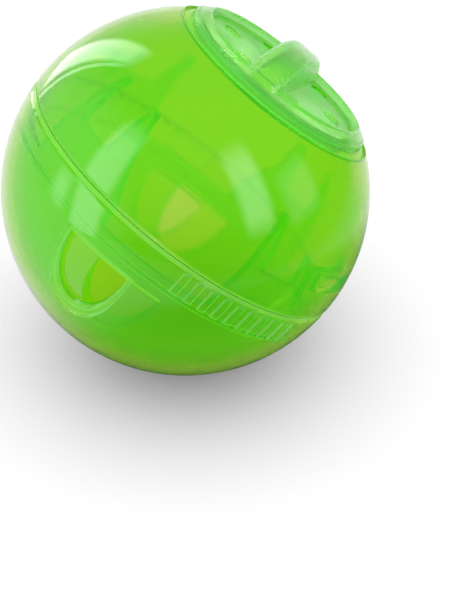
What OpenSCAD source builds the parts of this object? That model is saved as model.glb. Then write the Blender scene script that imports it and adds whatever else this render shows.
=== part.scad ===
// Treat dispensing ball: two outer shells, a turning shutter cup inside them and a filler cap at the pole.
// Millimetres. The origin is the ball's centre and +Z runs through the filler cap.
// Turns are counted about +Z from the -Y side, so a positive turn moves a feature towards +X.

/* [Ball] */
// Outside diameter of the ball
ball_d = 76; // [68:1:120]
// Wall of the two outer shells
shell_wall = 1.6; // [1.4:0.1:2.2]
// Running gap between the two shells at the seam
seam_gap = 0.2; // [0.1:0.05:0.4]
// Depth of the groove along the seam
seam_groove_depth = 0.5; // [0.2:0.1:0.9]
// Height of the groove's bevel on the upper shell
seam_bevel_up = 0.8; // [0.4:0.1:1.6]
// Height of the groove's bevel on the lower shell
seam_bevel_down = 1.2; // [0.4:0.1:1.6]

/* [Food windows] */
// Radius of the half-round window through the lower shell
window_r = 7.2; // [5:0.1:9]
// Distance of the window's axis inside the ball's surface
window_inset = 1.9; // [1:0.1:3]
// Depth of the window's flat top below the seam
window_top = 9.6; // [8.5:0.1:12]
// Turn of the window round the pole axis
window_turn = -8.3; // [-30:0.1:30]
// Width of the recessed lip round the window
window_lip = 0.9; // [0.4:0.1:1.5]
// Depth of the recessed lip
window_lip_depth = 0.5; // [0.2:0.1:0.9]

/* [Grip ribs] */
// Number of ribs in each grip band
rib_count = 10; // [4:1:12]
// Spacing of the ribs along the ball's surface
rib_pitch = 3.3; // [2.8:0.1:4]
// Width of a rib
rib_w = 1.6; // [1:0.1:2.2]
// Height of a rib along the ball
rib_h = 5.3; // [3:0.1:7]
// Height by which a rib stands proud of the ball
rib_proud = 0.4; // [0.2:0.1:0.8]
// Distance of the ribs' upper ends below the seam
rib_drop = 0.8; // [0.4:0.1:2]
// Turn of the middle of the grip band
rib_turn = 38; // [30:1:60]

/* [Shutter cup] */
// Wall of the shutter cup
cup_wall = 1.4; // [1.2:0.1:2]
// Running gap between the shutter cup and the shells
cup_gap = 0.4; // [0.25:0.05:0.6]
// Depth of the cup's rim below the seam
cup_rim = 5.2; // [4.6:0.1:5.6]
// Turn of the cup's windows from the shell's windows, as it stands
cup_turn = 12.3; // [2:0.1:22]
// Turn that takes the cup from fully open to shut
shut_turn = 26; // [25:0.5:30]
// Distance of the cup window's axis inside the cup's surface
cup_window_inset = 1.4; // [0.8:0.1:3]
// Extra radius of the cup's window over the shell's
cup_window_extra = 0.1; // [0:0.05:0.5]
// Extra depth of the cup's window top below the shell's
cup_window_drop = 0.6; // [0:0.1:1.5]

/* [Forks] */
// Turn from the cup's window to the middle of each fork's slot
fork_turn = 39.4; // [36:0.1:42]
// Width of a fork's slot
fork_slot_w = 9; // [7:0.1:10]
// Height of a slot's floor above the seam
fork_floor = 5.9; // [4:0.1:8]
// Height of the fins' tips above the seam
fin_top = 17; // [13:0.5:20]
// Height of the lower fin beside the snap frame
fin_low_top = 11.7; // [9:0.1:13]
// Width of a narrow fin at the seam
fin_narrow_w = 4.4; // [3:0.1:5]
// Width of a wide fin at the seam
fin_wide_w = 8.4; // [5:0.1:9]
// Width of a fin's tip
fin_tip_w = 1.1; // [0.6:0.1:2]
// Gap round the lugs that sit between the cup's fins and in its frames
lug_gap = 0.2; // [0.1:0.05:0.4]

/* [Snap frames] */
// Turn from the cup's window to the middle of the snap frame
frame_turn = 71.8; // [70:0.1:80]
// Width of the snap frame
frame_w = 22.5; // [16:0.5:26]
// Height of the frame's top edge above the seam
frame_top = 10.1; // [9:0.1:13]
// Height of the bar across the frame's top
frame_bar_h = 0.9; // [0.6:0.1:1.5]
// Width of the frame's posts
frame_post_w = 2.8; // [2:0.1:4]
// Height of the frame's hole
frame_hole_h = 3.6; // [2.5:0.1:4.5]

/* [Retaining bead] */
// Depth of the bead's middle below the seam
bead_drop = 7.4; // [7.2:0.1:7.6]
// Width of the bead
bead_w = 0.7; // [0.4:0.1:0.9]
// Depth by which the bead reaches into the cup's groove
bead_catch = 0.25; // [0.15:0.05:0.4]
// Gap between the bead and its groove
bead_gap = 0.25; // [0.15:0.05:0.3]

/* [Filler cap] */
// Radius of the cap's rim
cap_r = 21.5; // [20:0.1:24]
// Height by which the cap stands proud of the ball
cap_proud = 0.2; // [0:0.1:0.6]
// Wall of the cap
cap_wall = 1.4; // [1.2:0.1:1.8]
// Width of the cap's outer ring
cap_ring_w = 2.8; // [2.6:0.1:4.2]
// Depth of the cap's floor below the ring's inner edge
cap_recess = 1.4; // [1:0.1:2]
// Width by which the recess narrows down to its floor
cap_draft = 0.9; // [0.3:0.1:1]
// Rounding of the ring's inner edge
cap_round = 0.6; // [0.3:0.1:0.7]
// Width of the seat under the cap's rim
seat_w = 2; // [1.5:0.1:2.4]
// Length of the plug below the seat
plug_h = 3.1; // [2:0.1:4]
// Radial gap between the plug and the filler mouth
plug_gap = 0.1; // [0.05:0.01:0.2]
// Gap between the cap and its seat
seat_gap = 0.1; // [0.05:0.05:0.3]
// Width of the stepped groove round the cap
moat_w = 1.9; // [1:0.1:3]
// Depth of the stepped groove round the cap
moat_depth = 0.6; // [0.3:0.1:0.9]
// Thickness of the collar round the filler mouth
collar_wall = 1.8; // [1.4:0.1:2.4]
// Width by which the collar reaches past the groove
collar_reach = 1.2; // [0.8:0.1:2]
// Width over which the collar's edge thins out
collar_taper = 4.6; // [2:0.1:5]

/* [Finger bar and dimples] */
// Width of the finger bar at its foot
bar_foot_w = 9.2; // [7:0.1:11]
// Width of the finger bar at its top
bar_top_w = 7.4; // [6:0.1:8.5]
// Rounding of the finger bar's top edges
bar_round = 1.8; // [0.6:0.1:2.6]
// Height by which the bar's top stands proud of the cap
bar_proud = 0.4; // [0.1:0.1:1.5]
// Distance of the bar's ends from the pole axis
bar_end_r = 19.2; // [18.9:0.1:19.4]
// Wall of the hollow finger bar
bar_wall = 1.5; // [1.2:0.1:2]
// Turn of the finger bar round the pole axis
bar_turn = -7.5; // [-90:0.5:90]
// Number of round dimples in the cap's floor
dimple_count = 6; // [4:2:6]
// Radius of a dimple
dimple_r = 2; // [1:0.1:2.4]
// Distance of the dimples from the pole axis
dimple_ring_r = 13.2; // [12:0.1:14]
// Depth of a dimple
dimple_depth = 0.5; // [0.2:0.1:0.8]
// Length of the pointer slot in the cap's ring
pointer_w = 3; // [2:0.1:4]
// Width of the pointer slot
pointer_h = 1; // [0.6:0.1:1.4]
// Depth of the pointer slot
pointer_depth = 0.6; // [0.2:0.1:0.9]

/* [Hidden] */
$fn = 144;

half_turn = 180;
shell_green = [0.45, 0.85, 0.12, 0.6];
cup_green = [0.40, 0.78, 0.10, 0.6];
cap_green = [0.50, 0.88, 0.25, 0.7];

// Overrun of each cut past its surface, and the depth by which an added piece sinks into its wall
over = 0.3;

ball_r = ball_d / 2;
shell_in_r = ball_r - shell_wall;
cup_r = shell_in_r - cup_gap;
cup_in_r = cup_r - cup_wall;

// The forks beside a cup window, as turn, widths of the left and right fins, and top of the right fin
forks = [
    [-fork_turn, fin_narrow_w, fin_wide_w, fin_top],
    [fork_turn, fin_narrow_w, fin_narrow_w, fin_low_top]
];

frame_hole_top = frame_top - frame_bar_h;
frame_hole_w = frame_w - 2 * frame_post_w;

// Turn of the cup at which its window lies over the shell's, and at which it is shut, from where it stands
turn_open = -cup_turn;
turn_shut = shut_turn - cup_turn;

// Height of a sphere of radius r at distance d from the pole axis, or its distance from the axis at height d
function sphere_z(r, d) = sqrt(r * r - d * d);

// Turn of a point that lies at distance across from a plane through the pole axis, on radius r
function turn_of(across, r) = asin(across / r);

cap_top_r = ball_r + cap_proud;
recess_r = cap_r - cap_ring_w;
recess_floor_r = recess_r - cap_draft;
cap_floor_z = sphere_z(cap_top_r, recess_r) - cap_recess;
cap_under_r = cap_top_r - cap_wall;
seat_r = cap_under_r - seat_gap;
mouth_r = cap_r - seat_w;
plug_r = mouth_r - plug_gap;
plug_bottom_z = sphere_z(seat_r, mouth_r) - plug_h;
moat_r = cap_r + moat_w;
collar_r = moat_r + collar_reach;
collar_in_r = seat_r - collar_wall;
collar_edge_z = sphere_z(collar_in_r, collar_r);
collar_foot_r = min(collar_r + collar_taper, sphere_z(shell_in_r, fin_top + cup_gap));
collar_foot_z = sphere_z(shell_in_r + over / 2, collar_foot_r);
bar_top_r = cap_top_r + bar_proud;
bar_half_turn = turn_of(bar_end_r, bar_top_r);
rib_step = rib_pitch / ball_r * half_turn / PI;

// Everything above the height z, out to past the ball
module above(z) {
    translate([0, 0, z])
        cylinder(r = ball_d, h = ball_d);
}

// Everything below the height z, out to past the ball
module below(z) {
    translate([0, 0, z - ball_d])
        cylinder(r = ball_d, h = ball_d);
}

// Prism that runs out from the pole axis at a turn: its outline is width across and height above the seam
module outward(turn) {
    rotate([0, 0, turn])
        rotate([90, 0, 0])
            linear_extrude(ball_d)
                children();
}

// Upright half-round bore of a food window: top is its depth below the seam, grow widens it
module window_bore(turn, r, axis_r, top) {
    rotate([0, 0, turn])
        translate([0, -axis_r, -top - ball_d])
            cylinder(r = r, h = ball_d);
}

// The same piece on both sides of the ball
module both_sides() {
    for (turn = [0, half_turn])
        rotate([0, 0, turn])
            children();
}

// Lower shell: food windows, grip ribs, retaining bead and the stop that limits the cup's turn
module lower_shell() {
    color(shell_green)
        difference() {
            union() {
                difference() {
                    intersection() {
                        sphere(ball_r);
                        below(-seam_gap / 2);
                    }
                    sphere(shell_in_r);
                }
                grip_bands();
                retaining_bead();
                stop_lug();
            }
            seam_bevel(seam_gap / 2, seam_bevel_down, -1);
            both_sides() {
                window_bore(window_turn, window_r, ball_r - window_inset, window_top);
                window_lip_cut();
            }
        }
}

// Recess of the lip round a food window, in the outside of the wall
module window_lip_cut() {
    difference() {
        window_bore(window_turn, window_r + window_lip, ball_r - window_inset, window_top - window_lip);
        sphere(ball_r - window_lip_depth);
    }
}

// Upright ribs under the seam, in a band on each side of the ball
module grip_bands() {
    both_sides()
        for (i = [0 : rib_count - 1])
            rotate([0, 0, rib_turn + (i - (rib_count - 1) / 2) * rib_step])
                grip_rib();
}

// One rib, which follows the ball's surface
module grip_rib() {
    difference() {
        intersection() {
            sphere(ball_r + rib_proud);
            translate([-rib_w / 2, -ball_d, -rib_drop - rib_h])
                cube([rib_w, ball_d, rib_h]);
        }
        sphere(ball_r - over);
    }
}

// Bead inside the lower shell that holds the cup down by its groove
module retaining_bead() {
    bead_in_r = cup_r - bead_catch;
    difference() {
        intersection() {
            sphere(shell_in_r + over);
            translate([0, 0, -bead_drop - bead_w / 2])
                cylinder(r = ball_r, h = bead_w);
        }
        sphere(bead_in_r);
    }
}

// Lug at the back, between two fins, that ends the cup's turn both ways
module stop_lug() {
    cup_now = window_turn + cup_turn;
    fin_left = cup_now - fork_turn + turn_of(fork_slot_w / 2 + fin_wide_w, cup_in_r);
    fin_right = cup_now + fork_turn - turn_of(fork_slot_w / 2 + fin_narrow_w, cup_in_r);
    lug_left = fin_left + turn_shut;
    lug_right = fin_right + turn_open;
    lug_w = 2 * cup_in_r * sin((lug_right - lug_left) / 2) - 2 * lug_gap;
    difference() {
        intersection() {
            sphere(shell_in_r + over);
            outward(half_turn + (lug_left + lug_right) / 2)
                translate([-lug_w / 2, -cup_rim + cup_gap])
                    square([lug_w, cup_rim - cup_gap - seam_bevel_up]);
        }
        sphere(cup_in_r + lug_gap);
    }
}

// Ring that bevels a shell's outer edge along the seam: side is 1 for the upper shell and -1 for the lower
module seam_bevel(start, height, side) {
    foot_r = ball_r - seam_groove_depth;
    edge_r = sphere_z(ball_r, start + height);
    rotate_extrude()
        polygon([
            [foot_r, side * (start - over)],
            [ball_r + over, side * (start - over)],
            [ball_r + over, side * (start + height)],
            [edge_r, side * (start + height)],
            [foot_r, side * start]
        ]);
}

// Shutter cup: bowl with two windows, forks on both sides of them, and snap frames
module shutter_cup() {
    color(cup_green)
        difference() {
            intersection() {
                sphere(cup_r);
                rotate([0, 0, window_turn + cup_turn])
                    union() {
                        below(-cup_rim);
                        both_sides() {
                            for (fork = forks)
                                outward(fork[0])
                                    fork_outline(fork[1], fork[2], fork[3]);
                            outward(frame_turn)
                                frame_outline();
                        }
                    }
            }
            sphere(cup_in_r);
            both_sides()
                window_bore(
                    window_turn + cup_turn, window_r + cup_window_extra,
                    cup_r - cup_window_inset, window_top + cup_window_drop
                );
            bead_groove();
        }
}

// Fork: a fin that narrows to its tip on each side of a slot with a floor
module fork_outline(left_w, right_w, right_top) {
    slot = fork_slot_w / 2;
    foot = -cup_rim - over;
    polygon([
        [-slot - left_w, foot],
        [slot + right_w, foot],
        [slot + right_w, 0],
        [slot + fin_tip_w, right_top],
        [slot, right_top],
        [slot, fork_floor],
        [-slot, fork_floor],
        [-slot, fin_top],
        [-slot - fin_tip_w, fin_top],
        [-slot - left_w, 0]
    ]);
}

// Snap frame: a plate with a wide hole under its top bar
module frame_outline() {
    difference() {
        translate([-frame_w / 2, -cup_rim - over])
            square([frame_w, frame_top + cup_rim + over]);
        translate([-frame_hole_w / 2, frame_hole_top - frame_hole_h])
            square([frame_hole_w, frame_hole_h]);
    }
}

// Groove round the outside of the cup for the retaining bead
module bead_groove() {
    difference() {
        translate([0, 0, -bead_drop - bead_w / 2 - bead_gap])
            cylinder(r = ball_r, h = bead_w + 2 * bead_gap);
        sphere(cup_r - bead_catch - bead_gap);
    }
}

// Upper shell: filler mouth with a stepped seat, and lugs for the snap frames
module upper_shell() {
    color(shell_green)
        difference() {
            union() {
                difference() {
                    intersection() {
                        sphere(ball_r);
                        above(seam_gap / 2);
                    }
                    sphere(shell_in_r);
                }
                mouth_collar();
                snap_lugs();
            }
            seam_bevel(seam_gap / 2, seam_bevel_up, 1);
            cylinder(r = mouth_r, h = ball_d);
            step_cut(cap_r + seat_gap, seat_r);
            step_cut(moat_r, ball_r - moat_depth);
        }
}

// Cut within a radius of the pole axis that leaves the shell standing only up to a sphere
module step_cut(r, sphere_r) {
    difference() {
        cylinder(r = r, h = ball_d);
        sphere(sphere_r);
    }
}

// Thicker collar under the seat of the filler mouth, with an edge that thins out into the shell
module mouth_collar() {
    taper = (collar_edge_z - collar_foot_z) / (collar_foot_r - collar_r);
    cone_top = collar_edge_z + taper * collar_r;
    difference() {
        intersection() {
            sphere(shell_in_r + over);
            cylinder(r = collar_foot_r, h = ball_d);
        }
        sphere(collar_in_r);
        cylinder(r1 = cone_top / taper, r2 = 0, h = cone_top);
    }
}

// Lugs that fill the holes of the cup's snap frames
module snap_lugs() {
    lug_w = frame_hole_w - 2 * lug_gap;
    difference() {
        intersection() {
            sphere(shell_in_r + over);
            rotate([0, 0, window_turn + cup_turn])
                both_sides()
                    outward(frame_turn)
                        translate([-lug_w / 2, frame_hole_top - frame_hole_h + lug_gap])
                            square([lug_w, frame_hole_h - 2 * lug_gap]);
        }
        sphere(cup_in_r + lug_gap);
    }
}

// Filler cap: ring, recessed floor with dimples, plug for the mouth and a hollow finger bar
module filler_cap() {
    color(cap_green)
        rotate([0, 0, bar_turn])
            difference() {
                union() {
                    difference() {
                        cap_blank();
                        cap_recess_cut();
                        translate([0, 0, cap_floor_z - cap_wall - ball_r])
                            cylinder(r = plug_r - cap_wall, h = ball_r);
                    }
                    intersection() {
                        finger_bar(bar_foot_w, bar_top_w, bar_top_r, bar_round, bar_half_turn);
                        translate([0, 0, cap_floor_z - cap_wall])
                            cylinder(r = plug_r, h = ball_r);
                    }
                }
                bar_hollow();
                dimples();
                pointer_slot();
            }
}

// Ring and plug before the cap's two hollows
module cap_blank() {
    intersection() {
        sphere(cap_top_r);
        union() {
            difference() {
                cylinder(r = cap_r, h = ball_r + ball_d);
                sphere(cap_under_r);
            }
            translate([0, 0, plug_bottom_z])
                cylinder(r = plug_r, h = ball_r);
        }
    }
}

// Recess above the cap's floor, with a wall that leans out to the ring's rounded inner edge
module cap_recess_cut() {
    corner_steps = 5;
    lean = atan(cap_draft / cap_recess);
    wall_reach = recess_floor_r * cos(lean) - cap_floor_z * sin(lean);
    round_r = cap_top_r - cap_round;
    round_turn = lean + asin((wall_reach + cap_round) / round_r);
    corner_turn = 90 - lean + round_turn;
    corner = [for (i = [0 : corner_steps])
        let (a = half_turn - lean - corner_turn * i / (corner_steps + 1))
            [round_r * sin(round_turn) + cap_round * cos(a),
                round_r * cos(round_turn) + cap_round * sin(a)]];
    crest = corner[corner_steps];
    rotate_extrude()
        polygon(concat(
            [[0, cap_floor_z], [recess_floor_r, cap_floor_z]], corner,
            [crest * ball_d / norm(crest), [0, ball_d]]
        ));
}

// Bar whose section runs round the ball's centre: foot and top are widths and round rounds its top edges
module finger_bar(foot, top, top_r, round_r, reach) {
    corner_steps = 6;
    corner = [for (i = [0 : corner_steps])
        [top_r - round_r + round_r * cos(90 * i / corner_steps),
            top / 2 - round_r + round_r * sin(90 * i / corner_steps)]];
    half_side = concat(corner, [[cap_floor_z, foot / 2], [mouth_r, foot / 2]]);
    other_side = [for (i = [len(half_side) - 1 : -1 : 0])
        [half_side[i][0], -half_side[i][1]]];
    rotate([0, 90, 0])
        rotate([0, 0, half_turn - reach])
            rotate_extrude(angle = 2 * reach)
                polygon(concat(half_side, other_side));
}

// Hollow under the finger bar, open below through the cap's floor
module bar_hollow() {
    inner_reach = bar_half_turn - turn_of(bar_wall, bar_top_r);
    intersection() {
        finger_bar(
            bar_foot_w - 2 * bar_wall, bar_top_w - 2 * bar_wall,
            bar_top_r - bar_wall, bar_round / 2, inner_reach
        );
        cylinder(r = plug_r - cap_wall, h = ball_d);
    }
}

// Shallow round dimples in the cap's floor, clear of the finger bar
module dimples() {
    step = 2 * half_turn / dimple_count;
    for (i = [0 : dimple_count - 1])
        rotate([0, 0, i * step + step / 2])
            translate([0, dimple_ring_r, cap_floor_z - dimple_depth])
                cylinder(r = dimple_r, h = dimple_depth + over);
}

// Slot in the ring, in line with the finger bar, that shows how far the cap is turned
module pointer_slot() {
    slot_top = cap_r - pointer_h / 2;
    translate([-pointer_w / 2, -slot_top, sphere_z(cap_top_r, slot_top) - pointer_depth])
        cube([pointer_w, pointer_h, ball_r]);
}

lower_shell();
shutter_cup();
upper_shell();
filler_cap();
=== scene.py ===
"""Treat dispensing ball: a hollow ball of translucent green plastic that lies on its side on a white floor.

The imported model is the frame. Lengths are metres. +Z is the pole axis through the filler cap, and -Y is the
side that shows.
"""

import math

import bpy
from mathutils import Matrix, Vector

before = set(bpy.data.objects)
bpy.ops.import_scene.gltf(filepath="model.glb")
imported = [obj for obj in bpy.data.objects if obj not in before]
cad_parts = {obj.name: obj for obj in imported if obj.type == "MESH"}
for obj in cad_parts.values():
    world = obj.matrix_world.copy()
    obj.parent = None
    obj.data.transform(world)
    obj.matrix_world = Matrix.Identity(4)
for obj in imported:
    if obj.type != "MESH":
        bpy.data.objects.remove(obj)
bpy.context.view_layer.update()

# Lower shell: an injection-moulded half ball of clear green plastic, with its ribs and windows moulded in.
# Such plastic has a faint ripple from the polish of the steel, fine handling marks and an uneven tint. Its
# rounded edges, cut faces and stepped rims get a painted highlight: they are painted a brighter green.
MM = 0.001
ball_radius = 38 * MM
shell_green = (0.58, 0.99, 0.09, 1)
shell_green_deep = (0.52, 0.985, 0.06, 1)
# Painted highlight: the paler green painted on edges, cut faces and stepped rims
edge_highlight_green = (0.38, 1, 0.26, 1)
shell_skin_radius = ball_radius - 1.2 * MM
step_radius = ball_radius - 0.65 * MM
step_reach = 0.45 * MM
step_paleness = 0.55
ripple = 0.008 * MM


def feed(tree, socket, value):
    """Links the socket to another node's output, or sets it to a plain value."""
    if isinstance(value, bpy.types.NodeSocket):
        tree.links.new(value, socket)
    else:
        socket.default_value = value


def shader_node(tree, kind, **settings):
    """Adds a shader node. A setting is a property of the node, or else feeds its input of that name."""
    node = tree.nodes.new("ShaderNode" + kind)
    for name, value in settings.items():
        if hasattr(node, name):
            setattr(node, name, value)
        else:
            feed(tree, node.inputs[name.replace("_", " ")], value)
    return node


def enabled(sockets):
    """The sockets that a node uses in its present mode."""
    return [socket for socket in sockets if socket.enabled]


def calculated(tree, operation, *values, clamp=False):
    """The result of a math node."""
    node = shader_node(tree, "Math", operation=operation, use_clamp=clamp)
    for socket, value in zip(node.inputs, values):
        feed(tree, socket, value)
    return node.outputs[0]


def measured(tree, operation, *vectors):
    """The result of a vector math node: a number, or a vector where the operation gives one."""
    node = shader_node(tree, "VectorMath", operation=operation)
    for socket, vector in zip(node.inputs, vectors):
        feed(tree, socket, vector)
    return enabled(node.outputs)[0]


def ranged(tree, value, start, end, start_result=0, end_result=1, smooth=False):
    """Runs from the start result to the end result as the value goes from start to end, and stops there."""
    node = shader_node(
        tree, "MapRange", interpolation_type="SMOOTHSTEP" if smooth else "LINEAR", Value=value,
        From_Min=start, From_Max=end, To_Min=start_result, To_Max=end_result)
    return node.outputs["Result"]


def mixed(tree, share, first, second, kind="FLOAT"):
    """The first value at share 0, the second at share 1, and a mixture between."""
    node = shader_node(tree, "Mix", data_type=kind)
    for socket, value in zip(enabled(node.inputs), (share, first, second)):
        feed(tree, socket, value)
    return enabled(node.outputs)[0]


def moulded_plastic(name, green, green_deep, haze, scuffed, edge_radius, edge_clearness, skin_radius,
                    milk=0, pale_steps=step_paleness):
    """Clear moulded plastic: tint clouds, haze that varies with handling, ripple, a glossy skin, and a painted
    highlight on edges, cut faces and steps, which are painted a paler green. In the outer skin, past the skin
    radius, what carries the painted highlight also scatters light, and all of the skin scatters at least the
    milk's share."""
    material = bpy.data.materials.new(name)
    material.use_nodes = True
    tree = material.node_tree
    plastic = tree.nodes["Principled BSDF"]
    place = shader_node(tree, "TexCoord").outputs["Object"]
    from_centre = measured(tree, "LENGTH", place)
    surface = shader_node(tree, "NewGeometry")
    normal = surface.outputs["Normal"]
    backfacing = surface.outputs["Backfacing"]

    # Cosines of the bend at an edge, and of the angle between a face and the radius
    straight, bent = 0.995, 0.85
    slanted, sideways = 0.75, 0.45
    rounded = shader_node(tree, "Bevel", samples=4, Radius=edge_radius).outputs["Normal"]
    edge = ranged(tree, measured(tree, "DOT_PRODUCT", rounded, normal), straight, bent, smooth=True)
    step = calculated(tree, "COMPARE", from_centre, step_radius, step_reach)
    edge_or_step = calculated(tree, "MULTIPLY_ADD", step, pale_steps, edge, clamp=True)
    outwardness = measured(tree, "DOT_PRODUCT", measured(tree, "NORMALIZE", place), normal)
    cut_face = ranged(tree, calculated(tree, "ABSOLUTE", outwardness), slanted, sideways)
    # Painted highlight mask: edges, stepped rims and cut faces are painted paler, scatter more and lose coat
    pale = calculated(tree, "MAXIMUM", edge_or_step, cut_face)

    in_skin = calculated(tree, "GREATER_THAN", from_centre, skin_radius)
    outer_skin = calculated(tree, "SUBTRACT", in_skin, backfacing, clamp=True)
    scattering = calculated(tree, "MULTIPLY", outer_skin, calculated(tree, "MAXIMUM", pale, milk))

    clouds = shader_node(tree, "TexNoise", Vector=place, Scale=45, Detail=3).outputs["Fac"]
    tint = mixed(tree, clouds, green, green_deep, "RGBA")
    clean, handled = 0.35, 0.75
    handling = shader_node(tree, "TexNoise", Vector=place, Scale=160, Detail=2).outputs["Fac"]
    waves = shader_node(tree, "TexNoise", Vector=place, Scale=90, Detail=1).outputs["Fac"]
    relief = shader_node(tree, "Bump", Strength=1, Distance=ripple, Height=waves)
    rounded_relief = shader_node(tree, "Bump", Strength=1, Distance=ripple, Height=waves, Normal=rounded)
    inner_gloss, pale_gloss = 0.1, 0.2
    gloss = calculated(
        tree, "MULTIPLY", ranged(tree, backfacing, 0, 1, 1, inner_gloss),
        ranged(tree, pale, 0, step_paleness, 1, pale_gloss))
    for finish, value in (
            ("Base Color", mixed(tree, pale, tint, edge_highlight_green, "RGBA")),
            ("Transmission Weight", ranged(tree, scattering, 0, 1, 1, edge_clearness)),
            ("IOR", 1.07),
            ("Roughness", ranged(tree, handling, clean, handled, haze, scuffed)),
            ("Normal", relief.outputs["Normal"]),
            ("Coat Weight", gloss),
            ("Coat IOR", 1.5),
            ("Coat Roughness", 0.04),
            ("Coat Normal", rounded_relief.outputs["Normal"])):
        feed(tree, plastic.inputs[finish], value)
    return material


def finish_node(node, material):
    """Gives a CAD node that keeps its shape its own material."""
    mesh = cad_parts[node].data
    mesh.materials.clear()
    mesh.materials.append(material)


finish_node("lower_shell", moulded_plastic(
    "lower_shell_plastic", shell_green, shell_green_deep, haze=0.22, scuffed=0.27,
    edge_radius=0.35 * MM, edge_clearness=0.4, skin_radius=shell_skin_radius))

# Shutter cup: a second moulded bowl inside the shells, with a thinner and so paler wall. A bead of the lower
# shell snaps into a groove under its rim, and its forks and frames rise behind the upper shell. It lies well
# inside the ball's surface, so none of it is outer skin.
cup_green = (0.75, 1, 0.25, 1)
cup_green_deep = (0.70, 0.995, 0.20, 1)
finish_node("shutter_cup", moulded_plastic(
    "shutter_cup_plastic", cup_green, cup_green_deep, haze=0.12, scuffed=0.15,
    edge_radius=0.3 * MM, edge_clearness=0.85, skin_radius=ball_radius))

# Upper shell: the other moulded half ball, clear so that the cup's forks and frames show through it. Its lugs
# sit between the forks' fins and in the frames, and a stepped groove runs round the mouth for the cap.
finish_node("upper_shell", moulded_plastic(
    "upper_shell_plastic", shell_green, shell_green_deep, haze=0.22, scuffed=0.27,
    edge_radius=0.3 * MM, edge_clearness=0.6, skin_radius=shell_skin_radius))

# Filler cap: a moulded disc with a finger bar, held by its plug in the mouth. Ring and bar are polished. The
# recessed floor is frosted by a spark-eroded patch of the mould, so that it looks paler and hides what is
# behind. The six dimples in it are polished again, and their deeper green is painted shade in the recesses.
cap_green = (0.45, 1, 0.25, 1)
cap_green_deep = (0.41, 0.995, 0.21, 1)
frost_green = (0.52, 0.92, 0.42, 1)
# Painted shade: the deeper green painted in the dimples' recesses
dimple_shade_green = (0.34, 0.92, 0.10, 1)
cap_top_radius = ball_radius + 0.2 * MM
cap_recess_radius = 18.7 * MM
cap_recess_depth = 1.4 * MM
cap_floor_height = math.sqrt(cap_top_radius ** 2 - cap_recess_radius ** 2) - cap_recess_depth
frost_depth = 0.05 * MM
dimple_reach = ball_radius - 1.9 * MM
cap_plastic = moulded_plastic(
    "filler_cap_plastic", cap_green, cap_green_deep, haze=0.25, scuffed=0.4,
    edge_radius=0.3 * MM, edge_clearness=0.5, skin_radius=32.5 * MM, milk=0.35, pale_steps=0)
cap_tree = cap_plastic.node_tree
cap_place = shader_node(cap_tree, "TexCoord").outputs["Object"]
cap_height = shader_node(cap_tree, "SeparateXYZ", Vector=cap_place).outputs["Z"]
cap_backfacing = shader_node(cap_tree, "NewGeometry").outputs["Backfacing"]
frosted = calculated(cap_tree, "COMPARE", cap_height, cap_floor_height, frost_depth)
below_frost = calculated(cap_tree, "LESS_THAN", cap_height, cap_floor_height - frost_depth)
within_reach = calculated(cap_tree, "LESS_THAN", measured(cap_tree, "LENGTH", cap_place), dimple_reach)
in_front = calculated(cap_tree, "SUBTRACT", within_reach, cap_backfacing, clamp=True)
# Dimples: polished clear, and painted a deeper green as painted shade
dimpled = calculated(cap_tree, "MULTIPLY", below_frost, in_front)
for patch, finish, value in (
        (frosted, "Base Color", frost_green),
        (frosted, "Roughness", 0.75),
        (frosted, "Transmission Weight", 0.9),
        (frosted, "Coat Weight", 0.1),
        (dimpled, "Base Color", dimple_shade_green),
        (dimpled, "Transmission Weight", 1)):
    cap_finish = cap_tree.nodes["Principled BSDF"].inputs[finish]
    elsewhere = cap_finish.links[0].from_socket
    kind = "RGBA" if finish == "Base Color" else "FLOAT"
    feed(cap_tree, cap_finish, mixed(cap_tree, patch, elsewhere, value, kind))
finish_node("filler_cap", cap_plastic)

# Floor: a seamless sheet of white paper that the ball lies on. Its normal is the room's up in the ball's own
# frame. The ways along it to the camera and to the right of the picture also place the lamps.
camera_place = Vector((0, -330.36, 101)) * MM
up = Vector((-0.521, -0.363, 0.772)).normalized()
to_camera = (camera_place - up * camera_place.dot(up)).normalized()
to_right = up.cross(to_camera)
floor_reach = 1.5
floor_across = up.cross(Vector((0, 1, 0))).normalized()
floor_along = up.cross(floor_across)
floor_mesh = bpy.data.meshes.new("floor")
floor_mesh.from_pydata(
    [-up * ball_radius + floor_across * a * floor_reach + floor_along * b * floor_reach
     for a, b in ((-1, -1), (1, -1), (1, 1), (-1, 1))],
    [], [(0, 1, 2, 3)])
if floor_mesh.polygons[0].normal.dot(up) < 0:
    floor_mesh.flip_normals()
floor = bpy.data.objects.new("floor", floor_mesh)
bpy.context.scene.collection.objects.link(floor)


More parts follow.
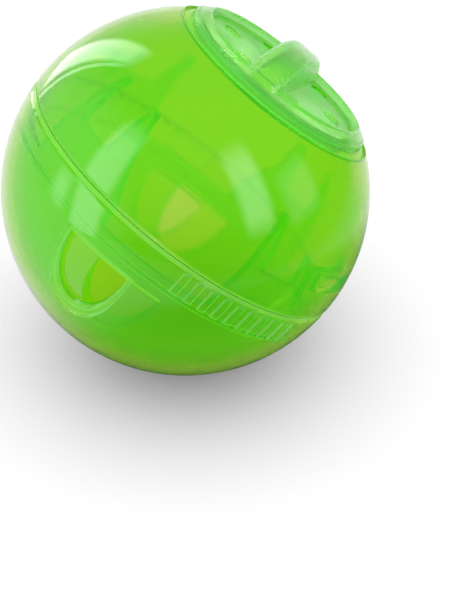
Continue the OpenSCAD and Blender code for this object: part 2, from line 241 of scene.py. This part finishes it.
def white_sheet(name):
    """White paper, seen from above only. Through the plastic it looks greyer and more even. In the plastic's
    gloss it is painted dark green: a painted shadow round the ball, and painted shade out to the right of the
    camera."""
    paper_white = (0.86, 0.86, 0.86, 1)
    paper_through = (0.25, 0.25, 0.25, 1)
    # Painted shade: the dark green the paper shows only in gloss, round the ball and out to the right
    painted_shade_green = (0.12, 0.22, 0.1, 1)
    camera_glow = 0.16
    through_glow = 0.43
    dark_middle = -up * ball_radius + (to_right * 35 + to_camera * 35) * MM
    dark_start, dark_full = 95 * MM, 55 * MM
    darker_way = to_right * 0.8 + to_camera * 0.6
    darker_reach = 150 * MM

    material = bpy.data.materials.new(name)
    material.use_nodes = True
    tree = material.node_tree
    paper = tree.nodes["Principled BSDF"]
    place = shader_node(tree, "TexCoord").outputs["Object"]
    seen = shader_node(tree, "LightPath")
    through = seen.outputs["Is Transmission Ray"]
    mirrored_only = calculated(tree, "SUBTRACT", seen.outputs["Is Glossy Ray"], through, clamp=True)
    from_middle = measured(tree, "DISTANCE", place, dark_middle)
    round_ball = ranged(tree, from_middle, dark_start, dark_full, smooth=True)
    to_the_right = ranged(tree, measured(tree, "DOT_PRODUCT", place, darker_way), 0, darker_reach)
    # Share of painted shadow and painted shade, seen only in gloss
    dark = calculated(tree, "MULTIPLY", mirrored_only, calculated(tree, "MAXIMUM", round_ball, to_the_right))
    lit_paper = mixed(tree, through, paper_white, paper_through, "RGBA")
    glow = calculated(
        tree, "MULTIPLY_ADD", seen.outputs["Is Camera Ray"], camera_glow,
        calculated(tree, "MULTIPLY", through, through_glow))
    for finish, value in (
            ("Base Color", mixed(tree, dark, lit_paper, painted_shade_green, "RGBA")),
            ("Roughness", 0.7),
            ("Specular IOR Level", 0.2),
            ("Emission Color", (1, 1, 1, 1)),
            ("Emission Strength", glow)):
        feed(tree, paper.inputs[finish], value)

    one_sided = shader_node(tree, "MixShader", Fac=shader_node(tree, "NewGeometry").outputs["Backfacing"])
    feed(tree, one_sided.inputs[1], paper.outputs["BSDF"])
    feed(tree, one_sided.inputs[2], shader_node(tree, "BsdfTransparent").outputs["BSDF"])
    feed(tree, tree.nodes["Material Output"].inputs["Surface"], one_sided.outputs["Shader"])
    return material


floor_mesh.materials.append(white_sheet("floor_paper"))

# Studio: a white room with its light overhead. The plastic's gloss mirrors it bright behind the ball and at
# the left, dimmer above and dark elsewhere, and what shows through the plastic is evenly lit.
world = bpy.data.worlds.new("studio")
bpy.context.scene.world = world
world.use_nodes = True
room = world.node_tree
way_out = shader_node(room, "TexCoord").outputs["Generated"]
ray = shader_node(room, "LightPath")


def room_side(direction, start, end, start_strength, end_strength):
    """Light whose strength changes as a ray turns towards the direction, between the cosines start and end."""
    towards = measured(room, "DOT_PRODUCT", way_out, direction)
    return ranged(room, towards, start, end, start_strength, end_strength, smooth=True)


mirrored = 0
for side, start, end, strength in (
        (camera_place.normalized(), -0.2, -0.9, 0.65),
        (-to_right, 0.45, 0.85, 0.75),
        (up, -0.5, 0.8, 0.3)):
    mirrored = calculated(room, "ADD", mirrored, room_side(side, start, end, 0, strength))
room_strength = room_side(up, start=-0.1, end=1, start_strength=0.25, end_strength=1.5)
for rays, strength in (("Is Glossy Ray", mirrored), ("Is Transmission Ray", 0.66), ("Is Camera Ray", 1)):
    room_strength = mixed(room, ray.outputs[rays], room_strength, strength)
feed(room, room.nodes["Background"].inputs["Strength"], room_strength)
feed(room, room.nodes["Background"].inputs["Color"], (1, 1, 1, 1))

# Softboxes: cloth-covered lamps on both sides of the ball and behind it, whose light fades towards their
# edges. They show only in gloss, as the soft pale strips and the bright crescent on the plastic.
softbox_distance = 0.6


def softbox(name, azimuth, elevation, width, height, watts, fade):
    """A lamp that faces the ball. Azimuth runs from the camera's side to the right, and elevation up from the
    floor, in degrees. The fade is a share of the lamp's width and height."""
    a, e = math.radians(azimuth), math.radians(elevation)
    way = (to_camera * math.cos(a) + to_right * math.sin(a)) * math.cos(e) + up * math.sin(e)
    lamp_data = bpy.data.lights.new(name, "AREA")
    lamp_data.shape = "RECTANGLE"
    lamp_data.size = width
    lamp_data.size_y = height
    lamp_data.energy = watts
    lamp_data.use_nodes = True
    tree = lamp_data.node_tree
    cloth = shader_node(tree, "NewGeometry").outputs["Parametric"]
    across_and_up = shader_node(tree, "SeparateXYZ", Vector=cloth)
    middle = 0.5
    brightness = 1
    for axis in ("X", "Y"):
        from_middle = calculated(tree, "SUBTRACT", across_and_up.outputs[axis], middle)
        faded = ranged(tree, calculated(tree, "ABSOLUTE", from_middle), middle, middle - fade, smooth=True)
        brightness = calculated(tree, "MULTIPLY", brightness, faded)
    feed(tree, tree.nodes["Emission"].inputs["Strength"], brightness)
    lamp = bpy.data.objects.new(name, lamp_data)
    across = up.cross(way).normalized()
    lamp_turn = Matrix((across, way.cross(across), way)).transposed().to_4x4()
    lamp.matrix_world = Matrix.Translation(way * softbox_distance) @ lamp_turn
    lamp.visible_camera = False
    lamp.visible_transmission = False
    lamp.visible_diffuse = False
    bpy.context.scene.collection.objects.link(lamp)


softbox("softbox_right", azimuth=44, elevation=28, width=0.26, height=0.7, watts=1.75, fade=0.3)
softbox("softbox_left", azimuth=-61, elevation=26, width=0.28, height=1, watts=2.4, fade=0.25)
softbox("softbox_low", azimuth=-82, elevation=8, width=0.2, height=0.28, watts=0.4, fade=0.45)
softbox("softbox_side", azimuth=74, elevation=12, width=0.33, height=0.4, watts=0.45, fade=0.3)
softbox("softbox_back", azimuth=-150.5, elevation=21, width=0.165, height=0.8, watts=1.4, fade=0.22)
softbox("softbox_edge", azimuth=-140, elevation=22, width=0.03, height=0.7, watts=0.16, fade=0.2)

# Camera: at the photograph's place, 345 mm from the ball's centre. It aims below and to the right of the ball,
# and is rolled so that the pole axis points up to the right at about 50 degrees. Light takes up to 40 bounces
# through the ball's many clear walls.
camera_aim = Vector((20.994, 0, -12.653)) * MM
camera_roll = math.radians(40.577)
bounces = 40
camera_data = bpy.data.cameras.new("camera")
camera_data.sensor_width = 36
camera_data.lens = 99.93
camera_data.clip_start = 0.01
camera_data.clip_end = 20
camera = bpy.data.objects.new("camera", camera_data)
camera_back = (camera_place - camera_aim).normalized()
level_right = Vector((0, 0, 1)).cross(camera_back).normalized()
level_turn = Matrix((level_right, camera_back.cross(level_right), camera_back)).transposed().to_4x4()
camera.matrix_world = Matrix.Translation(camera_place) @ level_turn @ Matrix.Rotation(camera_roll, 4, "Z")
bpy.context.scene.collection.objects.link(camera)
bpy.context.scene.camera = camera
bpy.context.scene.view_settings.view_transform = "Standard"
light_paths = bpy.context.scene.cycles
light_paths.max_bounces = light_paths.transmission_bounces = light_paths.glossy_bounces = bounces
light_paths.caustics_refractive = False
